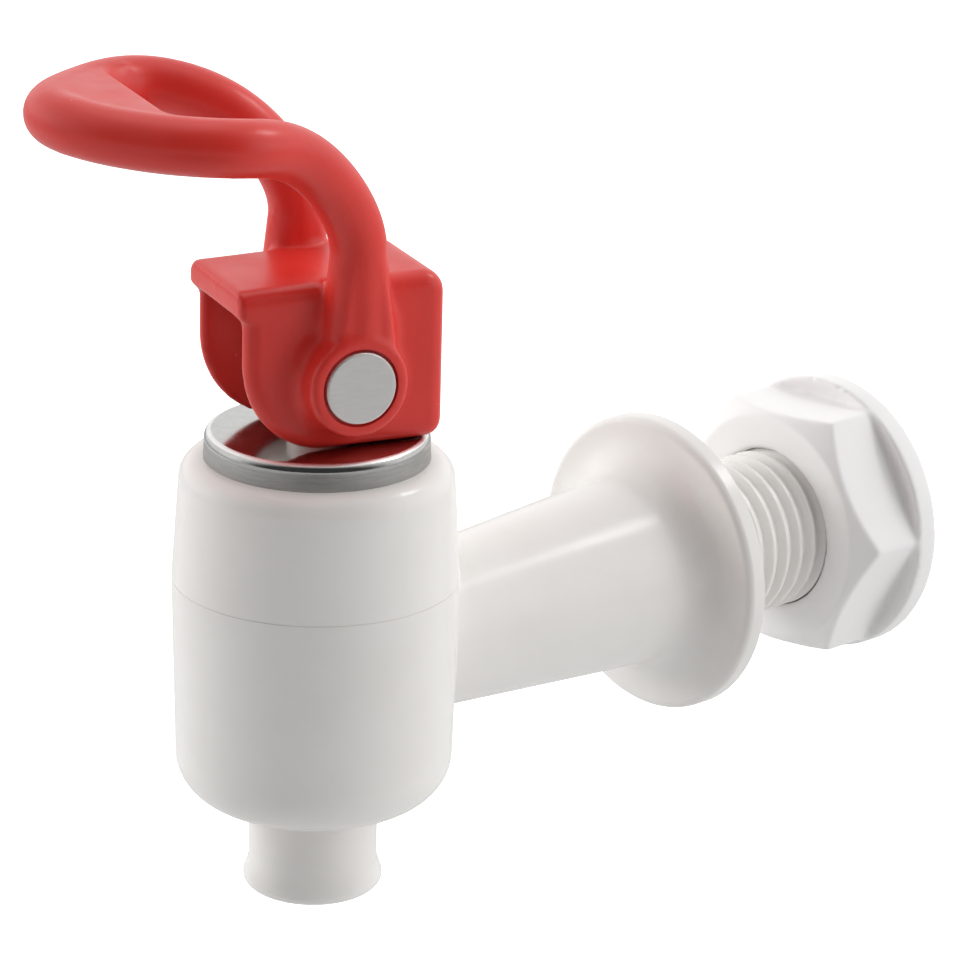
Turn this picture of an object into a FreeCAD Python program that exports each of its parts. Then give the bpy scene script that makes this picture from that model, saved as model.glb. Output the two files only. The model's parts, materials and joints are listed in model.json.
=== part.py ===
import FreeCAD, Part
import Sketcher
import math
import os
from FreeCAD import Placement, Rotation, Vector

# Water dispenser spigot: a push-lever tap on a threaded shank.
# Millimetres. The origin lies on the shank's axis, in the plane of the flange's
# back face, which seats against the dispenser's wall. +Y runs into the wall,
# -Y points at the user and +Z is up.

doc = FreeCAD.newDocument("spigot")

# Driving dimensions: name, value in millimetres or degrees, meaning.
# Radii and lengths of the cup side are measured from the cup's own vertical axis,
# heights from the shank's axis.
SIZES = [
    ("reach", 54.8, "cup axis to the flange's back face"),
    ("cup_radius", 16.5, "body cup at the bonnet seam"),
    ("cup_foot_radius", 16.05, "body cup just above its rounded bottom"),
    ("cup_foot_height", -10.5, "start of the rounded bottom"),
    ("cup_bottom", -16.0, "underside of the cup"),
    ("cup_bottom_fillet", 5.4, "rounding of the cup's bottom edge"),
    ("seam_height", 10.8, "shoulder that the bonnet meets"),
    ("seam_gap", 0.12, "daylight between the bonnet's edge and that shoulder"),
    ("neck_radius", 14.0, "body neck inside the bonnet"),
    ("chamber_radius", 12.0, "water chamber in the cup"),
    ("floor_thickness", 2.6, "chamber floor"),
    ("chamber_fillet", 3.0, "rounding of the chamber's floor"),
    ("seat_radius", 7.4, "raised valve seat"),
    ("seat_rise", 2.0, "valve seat above the floor"),
    ("outlet_radius", 5.5, "bore of the spout"),
    ("spout_radius", 7.49, "outside of the spout's neck"),
    ("spout_tip", -27.45, "lower end of the spout"),
    ("lip_radius", 8.15, "flared lip of the spout"),
    ("lip_length", 3.35, "height of the lip, with its flare"),
    ("lip_flare", 2.1, "height of the cone that widens the spout's neck to the lip"),
    ("lip_rounding", 1.1, "rounding of the lip's lower edge"),
    ("lip_shoulder_rounding", 0.8, "rounding between that cone and the lip"),
    ("spout_fillet", 1.2, "fillet where the spout leaves the cup"),
    ("tube_small_radius", 9.0, "tapered tube where it enters the cup"),
    ("tube_small_place", 12.0, "distance of that end from the cup's axis"),
    ("tube_large_radius", 12.0, "tapered tube at the flange"),
    ("tube_root_fillet", 0.8, "fillet where the tube leaves the cup"),
    ("flange_radius", 18.5, "round flange"),
    ("flange_thickness", 2.5, "round flange"),
    ("flange_land", 0.9, "flat ring between the flange's concave flare and its rim"),
    ("flange_rounding", 1.0, "rounded front rim of the flange"),
    ("pilot_radius", 10.5, "plain pilot behind the flange, which centres the tap in its hole"),
    ("pilot_length", 3.0, "plain pilot behind the flange"),
    ("thread_radius", 10.0, "crest of the shank's thread"),
    ("shank_length", 33.5, "shank behind the flange"),
    ("shank_chamfer", 1.0, "lead-in at the shank's end"),
    ("inlet_radius", 6.5, "water way through the shank"),
    ("inlet_step", 2.0, "flange's back face to the step in the water way, towards the cup"),
    ("channel_radius", 5.9, "water way through the tube"),
    ("bonnet_top_radius", 15.55, "bonnet just below its rounded shoulder"),
    ("bonnet_shoulder", 25.3, "top face of the bonnet's shoulder"),
    ("bonnet_land", 0.51, "flat ring between that shoulder's rounding and the wear cap"),
    ("bonnet_clearance", 0.1, "bonnet skirt round the body neck"),
    ("bonnet_ledge", 20.0, "ledge that clamps the seat cup's rim on the body neck"),
    ("cup_rim_thickness", 1.0, "seat cup's rim between that ledge and the neck"),
    ("bonnet_cavity_radius", 11.5, "hollow above the ledge"),
    ("bonnet_roof", 23.4, "ceiling of the hollow, where the spring bears"),
    ("cap_radius", 12.84, "outside of the wear cap"),
    ("cap_top", 28.4, "top of the wear cap"),
    ("cap_wall", 0.5, "sheet of the wear cap"),
    ("cap_rounding", 1.3, "rolled edge of the wear cap"),
    ("stem_radius", 3.5, "lift stem"),
    ("stem_clearance", 0.06, "stem in the bonnet's guide hole"),
    ("stem_bulb_radius", 4.4, "bulb at the stem's foot"),
    ("stem_bulb_length", 4.0, "bulb at the stem's foot"),
    ("stem_bulb_rounding", 1.2, "rounding of the bulb's lower edge"),
    ("stem_groove_radius", 2.6, "groove above the bulb"),
    ("stem_groove_length", 1.2, "groove for the spring washer"),
    ("eye_radius", 6.3, "eye at the stem's head, round the pin"),
    ("eye_half_width", 5.6, "half the eye's width along the pin"),
    ("pin_radius", 4.1, "hinge pin"),
    ("pin_above_cap", 8.6, "pin axis above the wear cap"),
    ("pin_half_length", 12.7, "half the hinge pin's length"),
    ("pin_edge", 0.25, "broken edge of the pin"),
    ("pin_clearance", 0.05, "pin in the stem's eye"),
    ("pin_mouth_gap", 0.35, "recess in the lever round the pin's end"),
    ("pin_mouth_depth", 0.7, "depth of that recess"),
    ("cheek_outer", 8.16, "half the cam block's width"),
    ("cheek_thickness", 2.16, "cheeks of the cam block"),
    ("block_back", 12.1, "pin axis to the block's back face"),
    ("block_top_thickness", 3.2, "top plate of the block"),
    ("block_back_thickness", 2.2, "back wall of the block"),
    ("block_top_rise", 11.1, "top of the block above the pin, at the back"),
    ("block_front_rise", 10.6, "the same at the front edge"),
    ("block_overhang", 0.8, "top plate beyond the cheeks at the front"),
    ("block_top_corner", 2.5, "rounding between the block's top and back"),
    ("block_foot_corner", 2.0, "rounding between the block's back and foot"),
    ("block_side_rounding", 1.7, "rounding between the cheeks and the block's top and back"),
    ("block_front_rounding", 0.6, "rounding round the top plate's front face"),
    ("cam_gain", 2.04, "cam: millimetres of lift for each radian of press"),
    ("cam_clearance", 0.12, "cam above the wear cap"),
    ("boss_radius", 5.8, "round boss on each cheek"),
    ("boss_outer", 12.5, "face of the boss from the middle"),
    ("boss_rounding", 0.5, "rounding round that face"),
    ("loop_bar_radius", 3.17, "round bar that the arms and the loop are shaped as"),
    ("arm_offset", 9.2, "arm centre from the middle, along the pin"),
    ("arm_lean", 0.83, "arm centre behind the pin"),
    ("arm_straight_rise", 14.3, "upright part of the arm above the pin"),
    ("arm_root_radius", 4.4, "half the arm's width, front to back, where it enters the boss"),
    ("arm_root_rise", 3.5, "that place above the pin"),
    ("shoulder_front", 2.2, "loop's shoulder in front of the pin"),
    ("shoulder_rise", 21.9, "loop's shoulder above the pin"),
    ("shoulder_offset", 9.8, "loop's shoulder from the middle"),
    ("neck_front", 9.35, "loop's neck in front of the pin"),
    ("neck_rise", 27.6, "loop's neck above the pin"),
    ("neck_offset", 12.6, "loop's neck from the middle"),
    ("waist_front", 15.3, "loop's widest place in front of the pin"),
    ("waist_rise", 29.0, "loop's widest place above the pin"),
    ("waist_offset", 14.9, "loop's widest place from the middle"),
    ("cheek_front", 24.1, "loop beside the paddle, in front of the pin"),
    ("cheek_rise", 29.4, "loop beside the paddle, above the pin"),
    ("cheek_offset", 10.7, "loop beside the paddle, from the middle"),
    ("tip_front", 30.5, "loop's tip in front of the pin"),
    ("tip_rise", 29.9, "loop's tip above the pin"),
    ("paddle_start", 21.5, "front end of the finger gap from the pin"),
    ("paddle_half_thickness", 2.9, "plate that fills the loop's front"),
    ("gap_corner", 3.5, "rounding of the finger gap's front corners"),
    ("gap_edge", 0.7, "rounding of the finger gap's front edge"),
    ("swivel_angle", -17.0, "lever turned about the cup's axis, degrees"),
    ("nut_front", 19.1, "nut's front face from the flange's back face"),
    ("nut_face_radius", 14.4, "nut's flat front face"),
    ("nut_chamfer_length", 2.3, "chamfer from that face to the corners"),
    ("nut_corner_radius", 17.4, "hexagon across corners, halved"),
    ("nut_hex_length", 9.1, "hexagon, with its chamfer"),
    ("nut_flange_radius", 17.7, "round flange of the nut"),
    ("nut_flange_thickness", 3.2, "round flange of the nut"),
    ("nut_turn", 3.0, "turn of the hexagon about the shank, degrees"),
    ("nut_clearance", 0.08, "nut on the shank"),
    ("washer_radius", 8.2, "spring washer"),
    ("washer_thickness", 1.0, "spring washer"),
    ("spring_radius", 6.0, "middle of the spring's wire"),
    ("spring_wire", 0.7, "radius of the spring's wire"),
    ("spring_turns", 4.5, "turns of the spring"),
    ("washer_gap", 0.12, "daylight round the spring washer"),
    ("plug_bottom_gap", 0.05, "seat cup above the valve seat"),
    ("cup_skin", 1.2, "wall of the seat cup"),
    ("cup_rim_inset", 0.8, "seat cup's wall inside the chamber's wall"),
    ("cup_cone_height", 3.0, "cone between the seat cup's foot and its wall"),
    ("stem_foot_gap", 1.6, "seat cup's rubber under the stem's bulb"),
]

sheet = doc.addObject("Spreadsheet::Sheet", "sizes")
for row, (alias, value, meaning) in enumerate(SIZES, start=1):
    sheet.set("A%d" % row, alias)
    sheet.set("B%d" % row, str(value))
    sheet.set("C%d" % row, meaning)
    sheet.setAlias("B%d" % row, alias)

# Places that follow from the sizes above.
DERIVED = [
    ("bonnet_edge", "seam_height + seam_gap"),
    ("neck_top", "bonnet_ledge - cup_rim_thickness"),
    ("floor_height", "cup_bottom + floor_thickness"),
    ("seat_height", "cup_bottom + floor_thickness + seat_rise"),
    ("lip_height", "spout_tip + lip_length"),
    ("lip_shoulder", "spout_tip + lip_length - lip_flare"),
    ("flange_flare", "flange_radius - tube_large_radius - flange_land"),
    ("inlet_step_place", "reach - inlet_step"),
    ("pilot_end", "reach + pilot_length"),
    ("bonnet_inner_radius", "neck_radius + bonnet_clearance"),
    ("bonnet_guide_radius", "stem_radius + stem_clearance"),
    ("bonnet_boss_radius", "cap_radius - cap_wall"),
    ("bonnet_boss_top", "cap_top - cap_wall"),
    ("bonnet_rounding", "bonnet_top_radius - bonnet_boss_radius - bonnet_land"),
    ("plug_bottom", "seat_height + plug_bottom_gap"),
    ("stem_foot", "plug_bottom + stem_foot_gap"),
    ("bulb_top", "stem_foot + stem_bulb_length"),
    ("washer_top", "bulb_top + washer_thickness"),
    ("cone_top", "washer_top + cup_cone_height"),
    ("washer_pocket_radius", "washer_radius + washer_gap"),
    ("plug_radius", "washer_pocket_radius + cup_skin"),
    ("cup_wall_radius", "chamber_radius - cup_rim_inset"),
    ("cup_hollow_radius", "cup_wall_radius - cup_skin"),
    ("groove_top", "bulb_top + stem_groove_length"),
    ("pin_height", "cap_top + pin_above_cap"),
    ("cam_radius_rest", "pin_above_cap - cam_clearance"),
    ("block_bottom", "cap_top + cam_clearance"),
    ("block_front", "cam_radius_rest + cam_gain * pi / 2"),
    ("plate_front", "block_front + block_overhang"),
    ("block_top", "pin_height + block_top_rise"),
    ("block_top_front", "pin_height + block_front_rise"),
    ("plate_underside", "block_top_front - block_top_thickness"),
    ("cheek_inner", "cheek_outer - cheek_thickness"),
    ("flange_front", "reach - flange_thickness"),
    ("nut_length", "nut_hex_length + nut_flange_thickness"),
    ("shank_end", "reach + shank_length"),
    ("nut_bore_radius", "thread_radius + nut_clearance"),
    ("spring_foot", "washer_top + spring_wire"),
    ("spring_height", "bonnet_roof - washer_top - 2 * spring_wire"),
]
for row, (alias, formula) in enumerate(DERIVED, start=len(SIZES) + 2):
    sheet.set("A%d" % row, alias)
    sheet.set("B%d" % row, "=" + formula)
    sheet.setAlias("B%d" % row, alias)
doc.recompute()


def size(alias):
    return float(sheet.get(alias))


def bound(text):
    """Turns names of sizes in a formula into references to the sheet."""
    words = []
    for word in text.split():
        sign = ""
        while word and word[0] in "-(":
            sign += word[0]
            word = word[1:]
        tail = ""
        while word and word[-1] in ")":
            tail = word[-1] + tail
            word = word[:-1]
        if word and word[0].isalpha():
            word = "sizes." + word
        words.append(sign + word + tail)
    return " ".join(words)


def new_body(label):
    body = doc.addObject("PartDesign::Body", label)
    body.Label = label
    return body


def add_sketch(body, name, role):
    """A sketch on one of the body's own origin planes."""
    sketch = body.newObject("Sketcher::SketchObject", name)
    plane = [item for item in body.Origin.OriginFeatures if item.Role == role][0]
    sketch.AttachmentSupport = [(plane, "")]
    sketch.MapMode = "FlatFace"
    return sketch


def outline(body, name, role, corners):
    """A closed outline of straight lines. Each corner is a pair of formulas."""
    sketch = add_sketch(body, name, role)
    count = len(corners)
    turn = 2.0 * math.pi / count
    start = [Vector(math.cos(i * turn), math.sin(i * turn), 0) for i in range(count)]
    lines = [Part.LineSegment(start[i], start[(i + 1) % count]) for i in range(count)]
    sketch.addGeometry(lines, False)
    for i in range(count):
        sketch.addConstraint(Sketcher.Constraint("Coincident", i, 2, (i + 1) % count, 1))
    for i, (across, up) in enumerate(corners):
        for kind, formula in (("DistanceX", across), ("DistanceY", up)):
            index = sketch.addConstraint(Sketcher.Constraint(kind, -1, 1, i, 1, 1.0))
            if formula == "0":
                sketch.setDatum(index, FreeCAD.Units.Quantity("0 mm"))
            else:
                sketch.setExpression("Constraints[%d]" % index, bound(formula))
    return sketch


def circle(body, name, role, radius, across="0", up="0"):
    """A sketch that holds one circle."""
    sketch = add_sketch(body, name, role)
    sketch.addGeometry(Part.Circle(Vector(0, 0, 0), Vector(0, 0, 1), 5.0), False)
    index = sketch.addConstraint(Sketcher.Constraint("Radius", 0, 5.0))
    sketch.setExpression("Constraints[%d]" % index, bound(radius))
    for kind, formula in (("DistanceX", across), ("DistanceY", up)):
        index = sketch.addConstraint(Sketcher.Constraint(kind, -1, 1, 0, 3, 1.0))
        if formula == "0":
            sketch.setDatum(index, FreeCAD.Units.Quantity("0 mm"))
        else:
            sketch.setExpression("Constraints[%d]" % index, bound(formula))
    return sketch


def revolve(body, name, sketch, axis, kind="Revolution"):
    """Turns a sketch about its own horizontal or vertical axis."""
    feature = body.newObject("PartDesign::" + kind, name)
    feature.Profile = sketch
    feature.ReferenceAxis = (sketch, [axis])
    feature.Angle = 360.0
    doc.recompute()
    return feature


def pad(body, name, sketch, length, midplane=False):
    feature = body.newObject("PartDesign::Pad", name)
    feature.Profile = sketch
    feature.setExpression("Length", bound(length))
    feature.Midplane = midplane
    doc.recompute()
    return feature


def fillet(body, name, edges, radius):
    """Rounds edges of the body's tip. The radius is a formula."""
    feature = body.newObject("PartDesign::Fillet", name)
    feature.Base = (body.Tip if body.Tip != feature else feature.BaseFeature, edges)
    feature.setExpression("Radius", bound(radius))
    doc.recompute()
    return feature


def rings(shape, axis, radius, place):
    """Names of the circular edges about a body axis, of one radius, at one place."""
    found = []
    for index, edge in enumerate(shape.Edges, start=1):
        curve = edge.Curve
        if not isinstance(curve, Part.Circle):
            continue
        along = getattr(curve.Center, axis)
        if abs(curve.Radius - radius) < 0.01 and abs(along - place) < 0.01:
            found.append("Edge%d" % index)
    return found


def meeting(shape, radius):
    """Names of the edges where the tube meets the cup: neither rings nor straight lines."""
    found = []
    for index, edge in enumerate(shape.Edges, start=1):
        plain = isinstance(edge.Curve, (Part.Circle, Part.Line))
        if not plain and 0 < edge.BoundBox.YMin and edge.BoundBox.YMax < radius:
            found.append("Edge%d" % index)
    return found


def stand_on_cup_axis(item, swivelled=False):
    """Places a piece that was drawn about the cup's vertical axis."""
    angle = size("swivel_angle") if swivelled else 0.0
    item.Placement = Placement(Vector(0, -size("reach"), 0), Rotation(Vector(0, 0, 1), angle))
    item.setExpression("Placement.Base.y", "-sizes.reach")
    if swivelled:
        item.setExpression("Placement.Rotation.Angle", "sizes.swivel_angle")


# Body: cup, spout, tapered tube, flange and shank are one moulding.
# It is drawn about the cup's axis, with the shank along +Y.
tap_body = new_body("tap_body")
cup_profile = outline(tap_body, "cup_profile", "XZ_Plane", [
    ("0", "spout_tip"),
    ("lip_radius", "spout_tip"),
    ("lip_radius", "lip_shoulder"),
    ("spout_radius", "lip_height"),
    ("spout_radius", "cup_bottom"),
    ("cup_foot_radius", "cup_bottom"),
    ("cup_foot_radius", "cup_foot_height"),
    ("cup_radius", "seam_height"),
    ("neck_radius", "seam_height"),
    ("neck_radius", "neck_top"),
    ("0", "neck_top"),
])
cup = revolve(tap_body, "cup", cup_profile, "V_Axis")
fillet(tap_body, "cup_bottom_round",
       rings(cup.Shape, "z", size("cup_foot_radius"), size("cup_bottom")), "cup_bottom_fillet")
fillet(tap_body, "spout_root",
       rings(tap_body.Tip.Shape, "z", size("spout_radius"), size("cup_bottom")), "spout_fillet")
fillet(tap_body, "lip_round",
       rings(tap_body.Tip.Shape, "z", size("lip_radius"), size("spout_tip")), "lip_rounding")
fillet(tap_body, "lip_shoulder",
       rings(tap_body.Tip.Shape, "z", size("lip_radius"), size("lip_shoulder")), "lip_shoulder_rounding")
tube_profile = outline(tap_body, "tube_profile", "YZ_Plane", [
    ("tube_small_place", "0"),
    ("tube_small_place", "tube_small_radius"),
    ("flange_front", "tube_large_radius"),
    ("flange_front", "flange_radius"),
    ("reach", "flange_radius"),
    ("reach", "pilot_radius"),
    ("pilot_end", "pilot_radius"),
    ("pilot_end", "thread_radius"),
    ("shank_end - shank_chamfer", "thread_radius"),
    ("shank_end", "thread_radius - shank_chamfer"),
    ("shank_end", "0"),
])
tube = revolve(tap_body, "tube", tube_profile, "H_Axis")
fillet(tap_body, "flange_flare_round",
       rings(tube.Shape, "y", size("tube_large_radius"), size("flange_front")), "flange_flare")
fillet(tap_body, "flange_rim",
       rings(tap_body.Tip.Shape, "y", size("flange_radius"), size("flange_front")), "flange_rounding")
fillet(tap_body, "tube_root", meeting(tap_body.Tip.Shape, size("cup_radius")), "tube_root_fillet")
chamber_profile = outline(tap_body, "chamber_profile", "XZ_Plane", [
    ("0", "spout_tip - lip_length"),
    ("outlet_radius", "spout_tip - lip_length"),
    ("outlet_radius", "seat_height"),
    ("seat_radius", "seat_height"),
    ("seat_radius", "floor_height"),
    ("chamber_radius", "floor_height"),
    ("chamber_radius", "neck_top + floor_thickness"),
    ("0", "neck_top + floor_thickness"),
])
chamber = revolve(tap_body, "chamber", chamber_profile, "V_Axis", "Groove")
fillet(tap_body, "chamber_corner",
       rings(chamber.Shape, "z", size("chamber_radius"), size("floor_height")), "chamber_fillet")
inlet_profile = outline(tap_body, "inlet_profile", "YZ_Plane", [
    ("0", "0"),
    ("0", "channel_radius"),
    ("inlet_step_place", "channel_radius"),
    ("inlet_step_place", "inlet_radius"),
    ("shank_end + shank_chamfer", "inlet_radius"),
    ("shank_end + shank_chamfer", "0"),
])
revolve(tap_body, "inlet", inlet_profile, "H_Axis", "Groove")
stand_on_cup_axis(tap_body)

# Bonnet: the screwed top of the cup, with the guide hole for the stem.
bonnet = new_body("bonnet")
bonnet_profile = outline(bonnet, "bonnet_profile", "XZ_Plane", [
    ("bonnet_inner_radius", "bonnet_edge"),
    ("cup_radius", "bonnet_edge"),
    ("bonnet_top_radius", "bonnet_shoulder"),
    ("bonnet_boss_radius", "bonnet_shoulder"),
    ("bonnet_boss_radius", "bonnet_boss_top"),
    ("bonnet_guide_radius", "bonnet_boss_top"),
    ("bonnet_guide_radius", "bonnet_roof"),
    ("bonnet_cavity_radius", "bonnet_roof"),
    ("bonnet_cavity_radius", "bonnet_ledge"),
    ("bonnet_inner_radius", "bonnet_ledge"),
])
bonnet_shell = revolve(bonnet, "bonnet_shell", bonnet_profile, "V_Axis")
fillet(bonnet, "bonnet_round",
       rings(bonnet_shell.Shape, "z", size("bonnet_top_radius"), size("bonnet_shoulder")),
       "bonnet_rounding")
stand_on_cup_axis(bonnet)

# Wear cap: a pressed stainless cap on the bonnet's boss, under the cam.
wear_cap = new_body("wear_cap")
cap_profile = outline(wear_cap, "cap_profile", "XZ_Plane", [
    ("bonnet_boss_radius", "bonnet_shoulder"),
    ("cap_radius", "bonnet_shoulder"),
    ("cap_radius", "cap_top"),
    ("bonnet_guide_radius + cap_wall", "cap_top"),
    ("bonnet_guide_radius + cap_wall", "bonnet_boss_top"),
    ("bonnet_boss_radius", "bonnet_boss_top"),
])
cap_shell = revolve(wear_cap, "cap_shell", cap_profile, "V_Axis")
fillet(wear_cap, "cap_rim", rings(cap_shell.Shape, "z", size("cap_radius"), size("cap_top")),
       "cap_rounding")
stand_on_cup_axis(wear_cap)

# Lift stem: rod with an eye for the hinge pin on top and a bulb at its foot.
stem = new_body("stem")
stem_profile = outline(stem, "stem_profile", "XZ_Plane", [
    ("0", "stem_foot"),
    ("stem_bulb_radius", "stem_foot"),
    ("stem_bulb_radius", "bulb_top"),
    ("stem_groove_radius", "bulb_top"),
    ("stem_groove_radius", "groove_top"),
    ("stem_radius", "groove_top"),
    ("stem_radius", "pin_height"),
    ("0", "pin_height"),
])
stem_rod = revolve(stem, "stem_rod", stem_profile, "V_Axis")
fillet(stem, "bulb_round",
       rings(stem_rod.Shape, "z", size("stem_bulb_radius"), size("stem_foot")), "stem_bulb_rounding")
pad(stem, "stem_eye", circle(stem, "eye_circle", "YZ_Plane", "eye_radius", "0", "pin_height"),
    "2 * eye_half_width", midplane=True)
eye_hole = stem.newObject("PartDesign::Pocket", "eye_hole")
eye_hole.Profile = circle(stem, "eye_hole_circle", "YZ_Plane", "pin_radius + pin_clearance",
                          "0", "pin_height")
eye_hole.Type = "Length"
eye_hole.Midplane = True
eye_hole.setExpression("Length", bound("3 * eye_half_width"))
doc.recompute()
stand_on_cup_axis(stem, swivelled=True)

# Washer that snaps into the stem's groove and carries the spring.
spring_washer = new_body("spring_washer")
washer_profile = outline(spring_washer, "washer_profile", "XZ_Plane", [
    ("stem_groove_radius", "bulb_top"),
    ("washer_radius", "bulb_top"),
    ("washer_radius", "washer_top"),
    ("stem_groove_radius", "washer_top"),
])
revolve(spring_washer, "washer_ring", washer_profile, "V_Axis")
stand_on_cup_axis(spring_washer, swivelled=True)

# Return spring between the washer and the bonnet's ceiling. Its path is a chain of arcs
# along the helix, six to a turn, so that its faces are parts of plain rings.
def spring_point(turn):
    """Point of the spring's helix after some turns."""
    angle = 2 * math.pi * turn
    radius = size("spring_radius")
    height = size("spring_foot") + size("spring_height") * turn / size("spring_turns")
    return Vector(radius * math.cos(angle), radius * math.sin(angle), height)


arcs_per_turn = 6
arc_count = round(arcs_per_turn * size("spring_turns"))
arc_turn = size("spring_turns") / arc_count
spring_arcs = [Part.Arc(spring_point(i * arc_turn), spring_point((i + 0.5) * arc_turn),
                        spring_point((i + 1) * arc_turn)).toShape() for i in range(arc_count)]
spring_path = doc.addObject("Part::Feature", "spring_path")
spring_path.Shape = Part.Wire(spring_arcs)
wire_way = spring_arcs[0].tangentAt(spring_arcs[0].FirstParameter)
spring_section = doc.addObject("Part::Circle", "spring_section")
spring_section.setExpression("Radius", "sizes.spring_wire")
spring_section.Placement = Placement(spring_point(0), Rotation(Vector(0, 0, 1), wire_way))
spring_section.setExpression("Placement.Base.x", "sizes.spring_radius")
spring_section.setExpression("Placement.Base.z", "sizes.spring_foot")
doc.recompute()
return_spring = doc.addObject("Part::Sweep", "return_spring")
return_spring.Label = "return_spring"
return_spring.Sections = [spring_section]
return_spring.Spine = (spring_path, ["Edge%d" % (i + 1) for i in range(arc_count)])
return_spring.Solid = True
return_spring.Frenet = False
return_spring.Transition = "Transformed"
doc.recompute()
stand_on_cup_axis(return_spring, swivelled=True)

# Seat cup: silicone cup that seals on the valve seat and under the bonnet's ledge.
seat_cup = new_body("seat_cup")
seat_profile = outline(seat_cup, "seat_profile", "XZ_Plane", [
    ("0", "plug_bottom"),
    ("plug_radius", "plug_bottom"),
    ("plug_radius", "washer_top"),
    ("cup_wall_radius", "cone_top"),
    ("cup_wall_radius", "neck_top"),
    ("neck_radius", "neck_top"),
    ("neck_radius", "bonnet_ledge"),
    ("cup_hollow_radius", "bonnet_ledge"),
    ("cup_hollow_radius", "cone_top"),
    ("washer_pocket_radius", "washer_top"),
    ("washer_pocket_radius", "bulb_top"),
    ("stem_bulb_radius", "bulb_top"),
    ("stem_bulb_radius", "stem_foot"),
    ("0", "stem_foot"),
])
revolve(seat_cup, "seat_ring", seat_profile, "V_Axis")
stand_on_cup_axis(seat_cup)

# Hinge pin through both bosses of the lever and the stem's eye.
lever_pin = new_body("lever_pin")
pad(lever_pin, "pin_rod", circle(lever_pin, "pin_circle", "YZ_Plane", "pin_radius", "0", "pin_height"),
    "2 * pin_half_length", midplane=True)
pin_edges = []
for place in (-size("pin_half_length"), size("pin_half_length")):
    pin_edges += rings(lever_pin.Tip.Shape, "x", size("pin_radius"), place)
fillet(lever_pin, "pin_round", pin_edges, "pin_edge")
stand_on_cup_axis(lever_pin, swivelled=True)


# Lever: cam block, bosses, arms and paddle are one moulding. It is drawn with its
# front towards -Y and the pin along X.
def side_point(front, up):
    return Vector(0, -front, up)


def cam_point(angle):
    """Point of the cam's involute flank, from the pin, for one press angle."""
    rest = size("cam_radius_rest")
    gain = size("cam_gain")
    reach_now = rest + gain * angle
    front = reach_now * math.sin(angle) + gain * math.cos(angle)
    down = reach_now * math.cos(angle) - gain * math.sin(angle)
    return side_point(front, size("pin_height") - down)


def corner_arc(corner, before, after, radius):
    """Arc that rounds a corner, and its two ends, for a nearly square corner."""
    into = (before - corner).normalize()
    out = (after - corner).normalize()
    half = into.getAngle(out) / 2
    start = corner + into * (radius / math.tan(half))
    end = corner + out * (radius / math.tan(half))
    middle = corner + (into + out).normalize() * (radius / math.sin(half) - radius)
    return start, Part.Arc(start, middle, end).toShape(), end


def block_outline():
    """Side view of the cam block: level foot, involute flank, top plate, rounded back."""
    steps = 12
    quarter = math.pi / 2
    flank = Part.BSplineCurve()
    flank.interpolate([cam_point(quarter * i / steps) for i in range(steps + 1)])
    foot_front = cam_point(0.0)
    flank_top = cam_point(quarter)
    foot_back = side_point(-size("block_back"), size("block_bottom"))
    top_back = side_point(-size("block_back"), size("block_top"))
    top_front = side_point(size("plate_front"), size("block_top_front"))
    plate_foot = side_point(size("plate_front"), size("plate_underside"))
    cheek_top = side_point(size("block_front"), size("plate_underside"))
    top_start, top_arc, top_end = corner_arc(top_back, top_front, foot_back, size("block_top_corner"))
    foot_start, foot_arc, foot_end = corner_arc(foot_back, top_back, foot_front,
                                                size("block_foot_corner"))
    lines = [
        flank.toShape(),
        Part.makeLine(flank_top, cheek_top),
        Part.makeLine(cheek_top, plate_foot),
        Part.makeLine(plate_foot, top_front),
        Part.makeLine(top_front, top_start),
        top_arc,
        Part.makeLine(top_end, foot_start),
        foot_arc,
        Part.makeLine(foot_end, foot_front),
    ]
    return Part.Face(Part.Wire(lines))


def cam_block():
    """Open-fronted block: two cheeks, top plate and back wall."""
    width = size("cheek_outer")
    back = size("block_back")
    solid = block_outline().extrude(Vector(2 * width, 0, 0))
    solid.translate(Vector(-width, 0, 0))
    behind = back - size("block_top_corner") / 2
    above = size("block_top_front") - 0.01
    side_edges = [edge for edge in solid.Edges
                  if abs(abs(edge.CenterOfMass.x) - width) < 0.01
                  and (edge.CenterOfMass.y > behind or edge.CenterOfMass.z > above)]
    solid = solid.makeFillet(size("block_side_rounding"), side_edges)
    front_edges = [edge for edge in solid.Edges
                   if abs(edge.BoundBox.YMax + size("plate_front")) < 0.01]
    solid = solid.makeFillet(size("block_front_rounding"), front_edges)
    inner = size("cheek_inner")
    hollow_back = back - size("block_back_thickness")
    depth = hollow_back + 2 * size("plate_front")
    height = size("plate_underside") - size("cap_top")
    hollow = Part.makeBox(2 * inner, depth, height, Vector(-inner, hollow_back - depth, size("cap_top")))
    return solid.cut(hollow)


def loop_point(side, place):
    """One named place on the centre line of the round bar, on one side of the middle."""
    offset = side * size(place + "_offset")
    return Vector(offset, -size(place + "_front"), size("pin_height") + size(place + "_rise"))


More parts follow.
